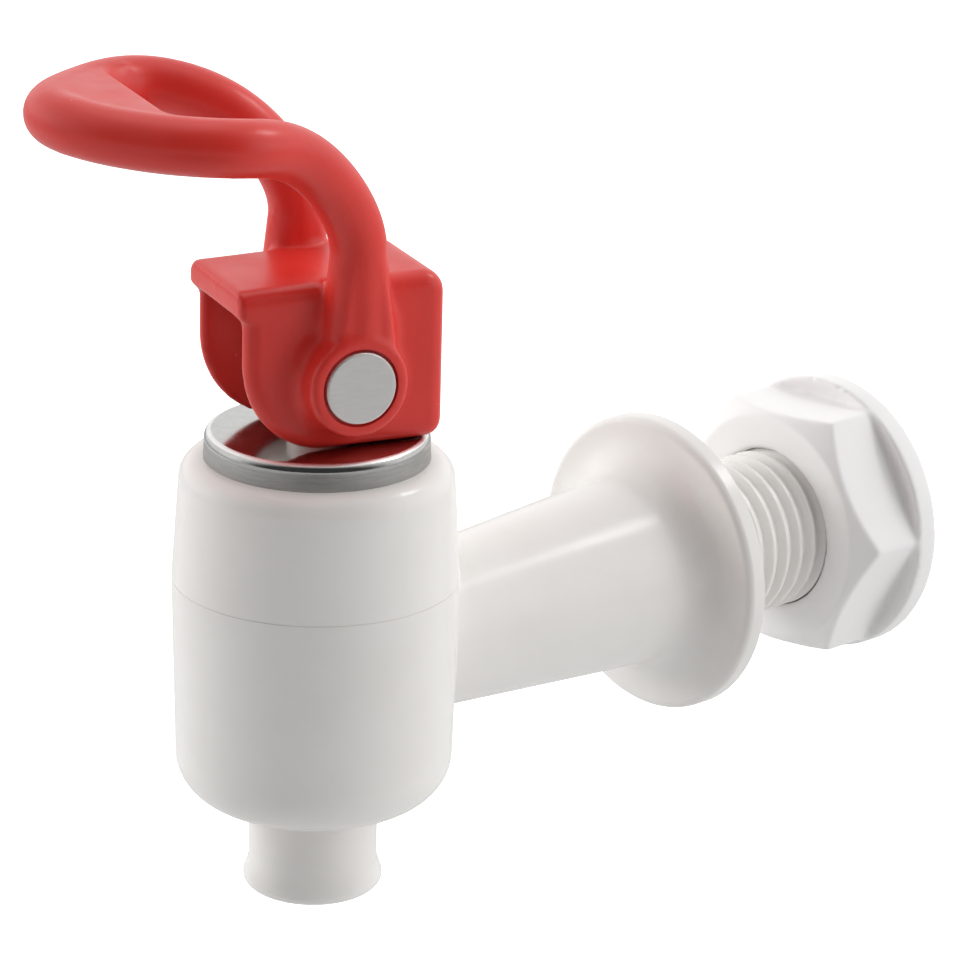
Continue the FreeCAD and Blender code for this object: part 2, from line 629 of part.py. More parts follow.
def loop_bar():
    """Round bar from one boss up, round the loop's tip and down to the other boss."""
    height = size("pin_height")
    lean = size("arm_lean")
    places = ("shoulder", "neck", "waist", "cheek")
    feet = [Vector(side * size("arm_offset"), lean, height) for side in (-1, 1)]
    rise = Vector(0, 0, size("arm_straight_rise"))
    tip = Vector(0, -size("tip_front"), height + size("tip_rise"))
    points = [feet[0] + rise]
    points += [loop_point(-1, place) for place in places]
    points += [tip]
    points += [loop_point(1, place) for place in reversed(places)]
    points += [feet[1] + rise]
    along = [0.0]
    for start, end in zip(points, points[1:]):
        along.append(along[-1] + (end - start).Length)
    between = len(points) - 2
    curve = Part.BSplineCurve()
    curve.interpolate(Points=points, Parameters=along, Scale=False,
                      Tangents=[Vector(0, 0, 1)] + between * [Vector(0, 0, 0)] + [Vector(0, 0, -1)],
                      TangentFlags=[True] + between * [False] + [True])
    path = Part.Wire([Part.makeLine(feet[0], points[0]), curve.toShape(),
                      Part.makeLine(points[-1], feet[1])])
    section = Part.Wire(Part.makeCircle(size("loop_bar_radius"), feet[0], Vector(0, 0, 1)))
    return path.makePipeShell([section], True, False)


def arm_root(side):
    """Cone that widens one arm towards its boss, front to back only. It is cut flat inside
    the arm's own width."""
    foot = Vector(side * size("arm_offset"), size("arm_lean"), size("pin_height") + size("arm_root_rise"))
    length = size("arm_straight_rise") - size("arm_root_rise")
    wide = size("arm_root_radius")
    half = 0.9 * size("loop_bar_radius")
    cone = Part.makeCone(wide, size("loop_bar_radius"), length, foot, Vector(0, 0, 1))
    slab = Part.makeBox(2 * half, 4 * wide, length, foot - Vector(half, 2 * wide, 0))
    return cone.common(slab)


def paddle():
    """Plate that fills the loop's front, with a straight edge on the finger gap. Its
    rounded corners end inside the bar."""
    half = size("paddle_half_thickness")
    front = size("paddle_start")
    corner = size("gap_corner")
    tip = size("tip_front")
    wide = size("waist_offset") - 0.9 * size("loop_bar_radius")
    corner_front = front - corner
    left = Vector(-size("cheek_offset") - size("loop_bar_radius"), -corner_front, 0)
    right = Vector(-left.x, left.y, 0)
    turned = corner * math.sqrt(0.5)
    lines = [
        Part.Arc(left, Vector(0, -tip, 0), right).toShape(),
        Part.makeLine(right, Vector(wide, -corner_front, 0)),
        Part.Arc(Vector(wide, -corner_front, 0),
                 Vector(wide - corner + turned, -corner_front - turned, 0),
                 Vector(wide - corner, -front, 0)).toShape(),
        Part.makeLine(Vector(wide - corner, -front, 0), Vector(corner - wide, -front, 0)),
        Part.Arc(Vector(corner - wide, -front, 0),
                 Vector(corner - wide - turned, -corner_front - turned, 0),
                 Vector(-wide, -corner_front, 0)).toShape(),
        Part.makeLine(Vector(-wide, -corner_front, 0), left),
    ]
    plate = Part.Face(Part.Wire(lines)).extrude(Vector(0, 0, 2 * half))
    plate.translate(Vector(0, 0, -half))
    gap_edges = [edge for edge in plate.Edges
                 if edge.BoundBox.ZLength < 0.01
                 and edge.BoundBox.YMin > -front - 0.01
                 and edge.BoundBox.XLength > 0.01
                 and abs(edge.CenterOfMass.x) < wide]
    plate = plate.makeFillet(size("gap_edge"), gap_edges)
    fall = (size("tip_rise") - size("waist_rise")) / (tip - size("waist_front"))
    plate.translate(Vector(0, tip, 0))
    plate.rotate(Vector(0, 0, 0), Vector(1, 0, 0), -math.degrees(math.atan(fall)))
    plate.translate(Vector(0, -tip, size("pin_height") + size("tip_rise")))
    return plate


def lever_shape():
    outer = size("boss_outer")
    inner = size("cheek_inner")
    height = size("pin_height")
    solid = cam_block()
    for side in (-1, 1):
        start = Vector(side * inner, 0, height)
        boss = Part.makeCylinder(size("boss_radius"), outer - inner, start, Vector(side, 0, 0))
        rim = [edge for edge in boss.Edges if abs(abs(edge.CenterOfMass.x) - outer) < 0.01]
        solid = solid.fuse(boss.makeFillet(size("boss_rounding"), rim))
    bar = loop_bar()
    solid = solid.fuse(bar.fuse(paddle()))
    for side in (-1, 1):
        solid = solid.fuse(arm_root(side))
    length = 3 * outer
    bore = Part.makeCylinder(size("pin_radius"), length, Vector(-length / 2, 0, height), Vector(1, 0, 0))
    solid = solid.cut(bore)
    for side in (-1, 1):
        depth = size("pin_mouth_depth")
        start = Vector(side * (outer - depth), 0, height)
        mouth = Part.makeCylinder(size("pin_radius") + size("pin_mouth_gap"), 2 * depth, start,
                                  Vector(side, 0, 0))
        solid = solid.cut(mouth)
    return solid.removeSplitter()


lever = doc.addObject("Part::Feature", "lever")
lever.Label = "lever"
lever.Shape = lever_shape()
stand_on_cup_axis(lever, swivelled=True)

# Shank nut: hexagon with a chamfered front and a round flange behind.
shank_nut = new_body("shank_nut")
hexagon = add_sketch(shank_nut, "hexagon", "XZ_Plane")
corners = 6
start_radius = size("nut_corner_radius")
hex_points = [Vector(start_radius * math.cos(2 * math.pi * i / corners),
                     start_radius * math.sin(2 * math.pi * i / corners), 0) for i in range(corners)]
hexagon.addGeometry([Part.LineSegment(hex_points[i], hex_points[(i + 1) % corners])
                     for i in range(corners)], False)
for i in range(corners):
    hexagon.addConstraint(Sketcher.Constraint("Coincident", i, 2, (i + 1) % corners, 1))
for i in range(corners):
    for kind, wave in (("DistanceX", "cos"), ("DistanceY", "sin")):
        index = hexagon.addConstraint(Sketcher.Constraint(kind, -1, 1, i, 1, 1.0))
        hexagon.setExpression("Constraints[%d]" % index,
                              "sizes.nut_corner_radius * %s(%d deg)" % (wave, 360 / corners * i))
hex_pad = pad(shank_nut, "hex_pad", hexagon, "nut_length")
hex_pad.Reversed = True
nut_flange_profile = outline(shank_nut, "nut_flange_profile", "YZ_Plane", [
    ("nut_hex_length", "0"),
    ("nut_hex_length", "nut_flange_radius"),
    ("nut_length", "nut_flange_radius"),
    ("nut_length", "0"),
])
revolve(shank_nut, "nut_flange", nut_flange_profile, "H_Axis")
nut_chamfer_profile = outline(shank_nut, "nut_chamfer_profile", "YZ_Plane", [
    ("-nut_chamfer_length", "2 * nut_face_radius - nut_corner_radius"),
    ("-nut_chamfer_length", "2 * nut_corner_radius - nut_face_radius"),
    ("2 * nut_chamfer_length", "2 * nut_corner_radius - nut_face_radius"),
])
revolve(shank_nut, "nut_chamfer", nut_chamfer_profile, "H_Axis", "Groove")
nut_bore_profile = outline(shank_nut, "nut_bore_profile", "YZ_Plane", [
    ("-nut_chamfer_length", "0"),
    ("-nut_chamfer_length", "nut_bore_radius"),
    ("nut_length + nut_chamfer_length", "nut_bore_radius"),
    ("nut_length + nut_chamfer_length", "0"),
])
revolve(shank_nut, "nut_bore", nut_bore_profile, "H_Axis", "Groove")
shank_nut.Placement = Placement(Vector(0, size("nut_front"), 0),
                                Rotation(Vector(0, 1, 0), -size("nut_turn")))
shank_nut.setExpression("Placement.Base.y", "sizes.nut_front")
shank_nut.setExpression("Placement.Rotation.Angle", "-sizes.nut_turn")

doc.recompute()
NODES = [tap_body, bonnet, wear_cap, seat_cup, stem, spring_washer, return_spring, lever_pin, lever,
         shank_nut]
failed = [item.Label for item in doc.Objects if "Invalid" in item.State or "Error" in item.State]
if failed:
    raise RuntimeError("these did not build: %s" % ", ".join(failed))
os.makedirs("parts", exist_ok=True)
for node in NODES:
    if node.Shape.isNull() or not node.Shape.isValid():
        raise RuntimeError("%s has no valid shape" % node.Label)
    node.Shape.exportStep("parts/%s.step" % node.Label)
    print(node.Label, len(node.Shape.Solids), round(node.Shape.Volume, 1), node.Shape.BoundBox)
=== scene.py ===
"""Looks of the water dispenser spigot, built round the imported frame. Metres, +Z up."""
import json
import math

import bmesh
import bpy
import numpy
import openvdb
from mathutils import Matrix, Vector


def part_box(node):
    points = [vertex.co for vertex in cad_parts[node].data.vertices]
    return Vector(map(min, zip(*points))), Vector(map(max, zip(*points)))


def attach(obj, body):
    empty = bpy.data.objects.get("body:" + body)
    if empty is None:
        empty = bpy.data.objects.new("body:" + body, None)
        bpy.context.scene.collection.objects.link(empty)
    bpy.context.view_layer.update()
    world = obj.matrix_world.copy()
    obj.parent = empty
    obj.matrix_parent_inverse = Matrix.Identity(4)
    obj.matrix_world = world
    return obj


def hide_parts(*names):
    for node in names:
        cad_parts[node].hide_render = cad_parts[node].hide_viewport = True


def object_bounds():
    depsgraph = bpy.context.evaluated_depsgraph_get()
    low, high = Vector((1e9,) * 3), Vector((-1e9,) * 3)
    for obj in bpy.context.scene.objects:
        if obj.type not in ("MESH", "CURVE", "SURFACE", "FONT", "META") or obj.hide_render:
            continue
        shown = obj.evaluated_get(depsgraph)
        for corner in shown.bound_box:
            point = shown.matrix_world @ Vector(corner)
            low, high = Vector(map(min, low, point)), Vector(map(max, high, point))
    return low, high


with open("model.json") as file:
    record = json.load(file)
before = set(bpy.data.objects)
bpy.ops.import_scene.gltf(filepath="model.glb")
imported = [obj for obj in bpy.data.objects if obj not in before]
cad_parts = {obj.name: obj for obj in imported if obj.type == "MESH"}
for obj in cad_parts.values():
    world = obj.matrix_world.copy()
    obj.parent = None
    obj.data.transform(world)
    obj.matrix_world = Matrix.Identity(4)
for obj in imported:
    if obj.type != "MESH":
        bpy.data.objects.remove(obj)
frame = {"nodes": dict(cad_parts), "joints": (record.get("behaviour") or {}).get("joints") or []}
cad_low, cad_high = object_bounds()
nodes = frame["nodes"]
MM = 0.001
SIDEWAYS = Vector((1, 0, 0))
ALONG = Vector((0, 1, 0))
UP = Vector((0, 0, 1))

# Places read from the frame
pin_low, pin_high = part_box("lever_pin")
cap_low, cap_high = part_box("wear_cap")
nut_low, nut_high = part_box("shank_nut")
pin_centre = (pin_low + pin_high) / 2
cup_axis = Vector((0.0, pin_centre.y, 0.0))

# The lever stands turned about the cup's axis: its side lies along the hinge pin
press = next(joint for joint in frame["joints"] if joint["name"] == "lever_press")
lever_side = Vector(press["axis"]).normalized()
lever_front = lever_side.cross(UP)


# Shader helpers
NOISE_MIDDLE = (0.3, 0.7)


def new_material(name):
    """A new material, with its tree and its shader."""
    material = bpy.data.materials.new(name)
    material.use_nodes = True
    tree = material.node_tree
    return material, tree, tree.nodes["Principled BSDF"]


def set_value(material, socket, value):
    """Sets one plain value of a material's shader."""
    material.node_tree.nodes["Principled BSDF"].inputs[socket].default_value = value


def position(tree):
    """Position on the object, which rides along with it."""
    return tree.nodes.new("ShaderNodeTexCoord").outputs["Object"]


def stretched(tree, vector, scale):
    """The same position, stretched by a factor on each axis."""
    node = tree.nodes.new("ShaderNodeMapping")
    node.inputs["Scale"].default_value = scale
    tree.links.new(vector, node.inputs["Vector"])
    return node.outputs["Vector"]


def noise(tree, vector, scale, detail=3.0, rough=0.5):
    """Soft noise with about as many features in a metre as its scale says."""
    node = tree.nodes.new("ShaderNodeTexNoise")
    node.inputs["Scale"].default_value = scale
    node.inputs["Detail"].default_value = detail
    node.inputs["Roughness"].default_value = rough
    tree.links.new(vector, node.inputs["Vector"])
    return node.outputs["Fac"]


def ramp(tree, value, low, high, start=0.0, end=1.0):
    """Maps a value from start..end to low..high, held at both ends."""
    node = tree.nodes.new("ShaderNodeMapRange")
    node.inputs["From Min"].default_value = start
    node.inputs["From Max"].default_value = end
    node.inputs["To Min"].default_value = low
    node.inputs["To Max"].default_value = high
    tree.links.new(value, node.inputs["Value"])
    return node.outputs["Result"]


def soft_ramp(tree, value, low, high, start, end):
    """A ramp that starts and ends gently."""
    result = ramp(tree, value, low, high, start, end)
    result.node.interpolation_type = "SMOOTHSTEP"
    return result


def from_noise(tree, value, low, high):
    """Maps the middle of a noise, where nearly all of it lies, to low..high."""
    return ramp(tree, value, low, high, *NOISE_MIDDLE)


def multiply(tree, first, second):
    """One linked value times another."""
    node = tree.nodes.new("ShaderNodeMath")
    node.operation = "MULTIPLY"
    tree.links.new(first, node.inputs[0])
    tree.links.new(second, node.inputs[1])
    return node.outputs["Value"]


def mix(tree, kind, part, first, second):
    """Mixes two values or colours, each of them linked or plain, by a linked value."""
    node = tree.nodes.new("ShaderNodeMix")
    node.data_type = kind
    tree.links.new(part, node.inputs["Factor"])
    for letter, source in (("A", first), ("B", second)):
        if isinstance(source, bpy.types.NodeSocket):
            tree.links.new(source, node.inputs[letter])
        else:
            node.inputs[letter].default_value = source
    return node.outputs["Result"]


def tint(tree, value, dark, light):
    """Mixes two colours by a value."""
    return mix(tree, "RGBA", value, (*dark, 1.0), (*light, 1.0))


def noise_tint(tree, value, dark, light):
    """Mixes two colours by the middle of a noise."""
    return tint(tree, from_noise(tree, value, 0.0, 1.0), dark, light)


def bump(tree, shader, height, strength, distance):
    """Bumps the shader's surface by a height."""
    node = tree.nodes.new("ShaderNodeBump")
    node.inputs["Strength"].default_value = strength
    node.inputs["Distance"].default_value = distance
    tree.links.new(height, node.inputs["Height"])
    tree.links.new(node.outputs["Normal"], shader.inputs["Normal"])


# Plastics
PLASTIC_IOR = 1.49
PLASTIC_BUMP = 0.1 * MM
DRIFT_SCALE = 60.0
DRIFT_MIDDLE = (0.35, 0.65)
SMEAR_SCALE = 180.0
RIPPLE_SCALE = 240.0
GRAIN_SCALE = 2600.0


def moulded_plastic(name, dark, light, rough, ripple, grain):
    """Moulded plastic: faint colour drift, uneven gloss and a slight surface ripple."""
    material, tree, shader = new_material(name)
    place = position(tree)
    drift = noise(tree, place, DRIFT_SCALE, detail=4.0, rough=0.6)
    tree.links.new(tint(tree, ramp(tree, drift, 0.0, 1.0, *DRIFT_MIDDLE), dark, light),
                   shader.inputs["Base Color"])
    smear = noise(tree, place, SMEAR_SCALE)
    tree.links.new(from_noise(tree, smear, *rough), shader.inputs["Roughness"])
    both = tree.nodes.new("ShaderNodeMath")
    both.operation = "MULTIPLY_ADD"
    both.inputs[1].default_value = grain
    tree.links.new(noise(tree, place, GRAIN_SCALE, detail=2.0), both.inputs[0])
    tree.links.new(noise(tree, place, RIPPLE_SCALE, detail=2.0), both.inputs[2])
    bump(tree, shader, both.outputs["Value"], ripple, PLASTIC_BUMP)
    shader.inputs["IOR"].default_value = PLASTIC_IOR
    return material


def add_flecks(material, scale, size, colour):
    """Scatters a few small pale flecks of dust or bruising over a plastic."""
    tree = material.node_tree
    shader = tree.nodes["Principled BSDF"]
    base = shader.inputs["Base Color"].links[0].from_socket
    cells = tree.nodes.new("ShaderNodeTexVoronoi")
    cells.inputs["Scale"].default_value = scale
    tree.links.new(position(tree), cells.inputs["Vector"])
    fleck = ramp(tree, cells.outputs["Distance"], 1.0, 0.0, 0.0, size)
    tree.links.new(mix(tree, "RGBA", fleck, base, (*colour, 1.0)), shader.inputs["Base Color"])


white_body = moulded_plastic("white_body", dark=(0.82, 0.80, 0.772), light=(0.855, 0.835, 0.81),
                             rough=(0.16, 0.26), ripple=0.10, grain=0.15)
white_nut = moulded_plastic("white_nut", dark=(0.895, 0.885, 0.88), light=(0.925, 0.915, 0.91),
                            rough=(0.38, 0.5), ripple=0.12, grain=0.4)
set_value(white_nut, "Specular IOR Level", 0.2)
white_stem = moulded_plastic("white_stem", dark=(0.76, 0.75, 0.72), light=(0.8, 0.79, 0.77),
                             rough=(0.3, 0.42), ripple=0.1, grain=0.3)
red_lever = moulded_plastic("red_lever", dark=(0.66, 0.030, 0.022), light=(0.73, 0.036, 0.026),
                            rough=(0.28, 0.40), ripple=0.12, grain=0.2)
add_flecks(red_lever, scale=400.0, size=0.04, colour=(0.85, 0.45, 0.40))
silicone = moulded_plastic("silicone", dark=(0.72, 0.72, 0.7), light=(0.78, 0.78, 0.76),
                           rough=(0.45, 0.6), ripple=0.08, grain=0.2)
set_value(silicone, "Transmission Weight", 0.25)


# Steels
STEEL_BUMP = 0.05 * MM
CAP_GRAIN = (350.0, 350.0, 7000.0)
CAP_CLOUD = 900.0
CAP_STRENGTH = 0.25
SKIRT_END = (1.25 * MM, 0.95 * MM)
# Depths below the cap's top of the band on its rounded edge that carries a painted highlight
HIGHLIGHT_BAND_FOOT = (0.32 * MM, 0.24 * MM)
HIGHLIGHT_BAND_TOP = (0.05 * MM, 0.005 * MM)


def steel(name, dark, light, rough, scale, strength):
    """Stainless steel with a drawn grain: the scale says which way it runs."""
    material, tree, shader = new_material(name)
    grain = noise(tree, stretched(tree, position(tree), scale), 1.0, detail=4.0, rough=0.7)
    tree.links.new(noise_tint(tree, grain, dark, light), shader.inputs["Base Color"])
    tree.links.new(from_noise(tree, grain, *rough), shader.inputs["Roughness"])
    bump(tree, shader, grain, strength, STEEL_BUMP)
    shader.inputs["Metallic"].default_value = 1.0
    return material


def below_cap_top(tree, height, low, high, depths):
    """Maps a height to low..high between two depths below the wear cap's top."""
    return ramp(tree, height, low, high, cap_high.z - depths[0], cap_high.z - depths[1])


def cap_steel():
    """The wear cap's steel: polished on top, brushed on its skirt, with a painted highlight, a band of
    bright colour, on the rounding of its edge.
    """
    material, tree, shader = new_material("polished_steel")
    place = position(tree)
    parts = tree.nodes.new("ShaderNodeSeparateXYZ")
    tree.links.new(place, parts.inputs[0])
    height = parts.outputs["Z"]
    skirt = below_cap_top(tree, height, 1.0, 0.0, SKIRT_END)
    # A band on the rim's rounding that takes a painted highlight: bright colour and a rougher finish
    highlight_band = multiply(tree, below_cap_top(tree, height, 0.0, 1.0, HIGHLIGHT_BAND_FOOT),
                      below_cap_top(tree, height, 1.0, 0.0, HIGHLIGHT_BAND_TOP))
    drawn = noise(tree, stretched(tree, place, CAP_GRAIN), 1.0, detail=4.0, rough=0.7)
    cloud = noise(tree, place, CAP_CLOUD, detail=4.0, rough=0.6)
    bright = noise_tint(tree, cloud, dark=(0.50, 0.50, 0.485), light=(0.57, 0.57, 0.555))
    matt = noise_tint(tree, drawn, dark=(0.42, 0.415, 0.40), light=(0.60, 0.59, 0.57))
    # Colour of the painted rim highlight
    rim = noise_tint(tree, cloud, dark=(0.90, 0.90, 0.89), light=(0.96, 0.96, 0.95))
    colour = mix(tree, "RGBA", highlight_band, mix(tree, "RGBA", skirt, bright, matt), rim)
    tree.links.new(colour, shader.inputs["Base Color"])
    rough = mix(tree, "FLOAT", skirt, from_noise(tree, cloud, 0.10, 0.17),
                from_noise(tree, drawn, 0.42, 0.56))
    rough = mix(tree, "FLOAT", highlight_band, rough, from_noise(tree, drawn, 0.40, 0.50))
    tree.links.new(rough, shader.inputs["Roughness"])
    bump(tree, shader, multiply(tree, drawn, skirt), CAP_STRENGTH, STEEL_BUMP)
    shader.inputs["Metallic"].default_value = 1.0
    return material


polished_steel = cap_steel()
brushed_steel = steel("brushed_steel", dark=(0.82, 0.81, 0.79), light=(0.92, 0.91, 0.89),
                      rough=(0.52, 0.62), scale=(500.0, 500.0, 9000.0), strength=0.15)
spring_steel = steel("spring_steel", dark=(0.5, 0.5, 0.5), light=(0.6, 0.6, 0.6),
                     rough=(0.25, 0.4), scale=(3000.0, 3000.0, 3000.0), strength=0.05)


# Mesh helpers
def add_object(name, data):
    """A new object in the scene."""
    item = bpy.data.objects.new(name, data)
    bpy.context.scene.collection.objects.link(item)
    return item


def dress(item, material, sharp_above):
    """Gives a piece its material and smooth shading with sharp edges above an angle."""
    item.data.materials.clear()
    item.data.materials.append(material)
    item.data.polygons.foreach_set("use_smooth", [True] * len(item.data.polygons))
    item.data.set_sharp_from_angle(angle=math.radians(sharp_above))


def copy_of(node, name):
    """A welded copy of a node's mesh, free to be changed."""
    mesh = nodes[node].data.copy()
    mesh.name = name
    custom = mesh.attributes.get("custom_normal")
    if custom:
        mesh.attributes.remove(custom)
    shape = bmesh.new()
    shape.from_mesh(mesh)
    bmesh.ops.remove_doubles(shape, verts=shape.verts, dist=0.001 * MM)
    shape.to_mesh(mesh)
    shape.free()
    return add_object(name, mesh)


def apply_modifiers(item):
    """Turns the modifiers' result into the piece's own mesh."""
    bpy.context.view_layer.update()
    graph = bpy.context.evaluated_depsgraph_get()
    mesh = bpy.data.meshes.new_from_object(item.evaluated_get(graph))
    item.modifiers.clear()
    item.data = mesh


def add_cylinder(name, centre, axis, radius, length, points=96):
    """A closed cylinder along an axis."""
    mesh = bpy.data.meshes.new(name)
    shape = bmesh.new()
    bmesh.ops.create_cone(shape, cap_ends=True, segments=points, radius1=radius, radius2=radius,
                          depth=length)
    turn = UP.rotation_difference(axis).to_matrix().to_4x4()
    bmesh.ops.transform(shape, matrix=Matrix.Translation(centre) @ turn, verts=shape.verts)
    shape.to_mesh(mesh)
    shape.free()
    return add_object(name, mesh)


def add_layers(name, layers, looped):
    """A closed solid from equal rings of points: capped at both ends, or looped round."""
    mesh = bpy.data.meshes.new(name)
    count = len(layers[0])
    points = [point for layer in layers for point in layer]
    spans = len(layers) if looped else len(layers) - 1
    faces = []
    for i in range(spans):
        lower = i * count
        upper = (i + 1) % len(layers) * count
        for k in range(count):
            after = (k + 1) % count
            faces.append((lower + k, lower + after, upper + after, upper + k))
    if not looped:
        faces.append(tuple(range(count)))
        faces.append(tuple(range(spans * count, (spans + 1) * count)))
    mesh.from_pydata(points, [], faces)
    shape = bmesh.new()
    shape.from_mesh(mesh)
    bmesh.ops.recalc_face_normals(shape, faces=shape.faces)
    shape.to_mesh(mesh)
    shape.free()
    return add_object(name, mesh)


def add_lathe(name, profile, centre, axis, side, points=128):
    """A closed ring: pairs of radius and place along an axis, turned about it."""
    across = axis.cross(side)
    layers = []
    for k in range(points):
        turn = 2 * math.pi * k / points
        out = side * math.cos(turn) + across * math.sin(turn)
        layers.append([centre + out * radius + axis * along for radius, along in profile])
    return add_layers(name, layers, looped=True)


def arc(centre, radius, start, end, steps):
    """Points of an arc in a plane, with its angles in degrees."""
    turns = [math.radians(start + (end - start) * i / steps) for i in range(steps + 1)]
    return [(centre[0] + radius * math.cos(turn), centre[1] + radius * math.sin(turn)) for turn in turns]


def combine(item, tool, operation):
    """Adds a tool to a piece, or cuts it out, and removes the tool."""
    modifier = item.modifiers.new("combine", "BOOLEAN")
    modifier.operation = operation
    modifier.object = tool
    modifier.solver = "EXACT"
    apply_modifiers(item)
    bpy.data.objects.remove(tool)


# A level set reaches this many voxels beyond the distance by which it is swelled
SPARE_VOXELS = 3


def swell(points, faces, distance, voxel):
    """The surface at a distance outside a closed surface, or inside it, in millimetres."""
    corners = "quads" if faces.shape[1] == 4 else "triangles"
    grid = openvdb.FloatGrid.createLevelSetFromPolygons(
        points, transform=openvdb.createLinearTransform(voxelSize=voxel),
        halfWidth=abs(distance) / voxel + SPARE_VOXELS, **{corners: faces})
    return grid.convertToQuads(isovalue=distance)


def mould(item, inner, outer, voxel, passes):
    """Blends a piece's inner corners and softens its outer edges to two radii, as a mould
    leaves them: the surface is swelled, drawn back too far and swelled again. The radii
    and the voxel are in millimetres."""
    mesh = item.data
    mesh.calc_loop_triangles()
    points = numpy.empty(3 * len(mesh.vertices), dtype=numpy.float32)
    mesh.vertices.foreach_get("co", points)
    points = points.reshape(-1, 3) / MM
    faces = numpy.empty(3 * len(mesh.loop_triangles), dtype=numpy.int32)
    mesh.loop_triangles.foreach_get("vertices", faces)
    faces = faces.reshape(-1, 3).astype(numpy.uint32)
    for distance in (inner, -inner - outer, outer):
        points, faces = swell(points.astype(numpy.float32), faces, distance, voxel)
    result = bpy.data.meshes.new(item.name)
    result.from_pydata((points * MM).tolist(), [], faces.tolist())
    item.data = result
    smooth = item.modifiers.new("smooth", "SMOOTH")
    smooth.factor = 0.5
    smooth.iterations = passes
    apply_modifiers(item)


# CAD nodes that keep their own meshes
for name, material in (("bonnet", white_body), ("seat_cup", silicone), ("stem", white_stem),
                       ("spring_washer", spring_steel), ("return_spring", spring_steel),
                       ("lever_pin", brushed_steel)):
    item = nodes[name]
    item.data.materials.clear()
    item.data.materials.append(material)


# Tap body
THREAD_CREST = 10.0 * MM
THREAD_PITCH = 2.3 * MM
THREAD_DEPTH = 0.95 * MM
THREAD_START = 3.0 * MM
THREAD_END = 32.5 * MM
THREAD_FADE = 1.6 * MM
THREAD_MARGIN = 0.08 * MM
GROOVE_GAIN = 1.25
GROOVE_SHIFT = 0.1
RINGS_PER_PITCH = 16
RING_POINTS = 144
CREST_TOLERANCE = 0.02 * MM
START_TOLERANCE = 0.01 * MM
SEAM_INNER = 14.3 * MM
SEAM_OUTER = 16.42 * MM
SEAM_BELOW = 10.6 * MM
SEAM_ABOVE = 10.9 * MM


def thread_radius(along, turn):
    """Radius of the thread at a place along the shank and a turn about it.

    The thread's form is a cosine wave, made taller and cut off, so that crests and roots
    are a little flat. It fades out at both ends."""
    phase = (along / THREAD_PITCH - turn / (2 * math.pi)) % 1.0
    wave = 0.5 - 0.5 * math.cos(2 * math.pi * phase)
    groove = min(1.0, max(0.0, GROOVE_GAIN * (1.0 - wave) - GROOVE_SHIFT))
    fade = min(1.0, (along - THREAD_START) / THREAD_FADE, (THREAD_END - along) / THREAD_FADE)
    return THREAD_CREST - THREAD_DEPTH * groove * max(0.0, fade)


def thread_ring(shape, along):
    """One ring of points of the thread, at a place along the shank."""
    ring = []
    for k in range(RING_POINTS):
        turn = 2 * math.pi * k / RING_POINTS
        radius = thread_radius(along, turn)
        ring.append(shape.verts.new((radius * math.cos(turn), along, radius * math.sin(turn))))
    return ring


def on_cylinder(vert):
    """Whether a point lies on the shank's plain cylinder."""
    off_crest = abs(math.hypot(vert.co.x, vert.co.z) - THREAD_CREST)
    return off_crest < CREST_TOLERANCE and vert.co.y > THREAD_START - START_TOLERANCE


def add_thread(shape):
    """Cuts the plain cylinder out of the shank and bridges a threaded one into its place."""
    plain = [face for face in shape.faces if all(on_cylinder(vert) for vert in face.verts)]
    bmesh.ops.delete(shape, geom=plain, context="FACES")
    loose = [edge for edge in shape.edges if edge.is_boundary]
    near = [edge for edge in loose if edge.verts[0].co.y < (THREAD_START + THREAD_END) / 2]
    far = [edge for edge in loose if edge not in near]
    first = THREAD_START + THREAD_MARGIN
    last = THREAD_END - THREAD_MARGIN
    count = round((last - first) / THREAD_PITCH * RINGS_PER_PITCH)
    rings = [thread_ring(shape, first + (last - first) * i / count) for i in range(count + 1)]
    for lower, upper in zip(rings, rings[1:]):
        for k in range(RING_POINTS):
            after = (k + 1) % RING_POINTS
            shape.faces.new((lower[k], upper[k], upper[after], lower[after]))
    for edges, ring in ((near, rings[0]), (far, rings[-1])):
        own = [shape.edges.get((ring[k], ring[(k + 1) % RING_POINTS])) for k in range(RING_POINTS)]
        bmesh.ops.bridge_loops(shape, edges=edges + own)
    bmesh.ops.recalc_face_normals(shape, faces=shape.faces)


def fill_seam(item):
    """Raises the cup's shoulder inside the seam, so that only a shallow groove is left."""
    profile = [(SEAM_INNER, SEAM_BELOW), (SEAM_OUTER, SEAM_BELOW), (SEAM_OUTER, SEAM_ABOVE),
               (SEAM_INNER, SEAM_ABOVE)]
    combine(item, add_lathe("seam_ring", profile, cup_axis, UP, SIDEWAYS, points=192), "UNION")


def make_body():
    """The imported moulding, with a thread on its shank and a shallow seam under the bonnet."""
    body = copy_of("tap_body", "tap_body_threaded")
    shape = bmesh.new()
    shape.from_mesh(body.data)
    add_thread(shape)
    shape.to_mesh(body.data)
    shape.free()
    fill_seam(body)
    dress(body, white_body, sharp_above=38.0)
    return body


body = make_body()
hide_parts("tap_body")
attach(body, "tap")


# Lever
LEVER_MOULD = {"inner": 0.4, "outer": 0.3, "voxel": 0.30, "passes": 3}
PIN_BORE = 4.1 * MM
MOUTH_RADIUS = 4.45 * MM
MOUTH_DEPTH = 0.7 * MM
BOSS_FACE = 12.5 * MM
BOSS_RADIUS = 5.8 * MM
BOSS_BLEND = 2.1 * MM
CHEEK_INSIDE = 6.0 * MM
CHEEK_FACE = 8.16 * MM
PLUG_RADIUS = 4.7 * MM
PLUG_INSET = 0.1 * MM
ARM_OFFSET = 9.2 * MM
ARM_LEAN = 0.83 * MM
SKIN = 0.4 * MM

# Heights above the pin, each with half the arm's width or with the blend's radius there
ARM_ROOT = (3.5 * MM, 4.4 * MM)
ARM_TOP = (14.3 * MM, 3.17 * MM)
ARM_BLEND = ((0.0, 2.2 * MM), (5.5 * MM, 2.2 * MM), (7.0 * MM, 1.8 * MM), (8.2 * MM, 1.2 * MM),
             (9.0 * MM, 0.5 * MM))


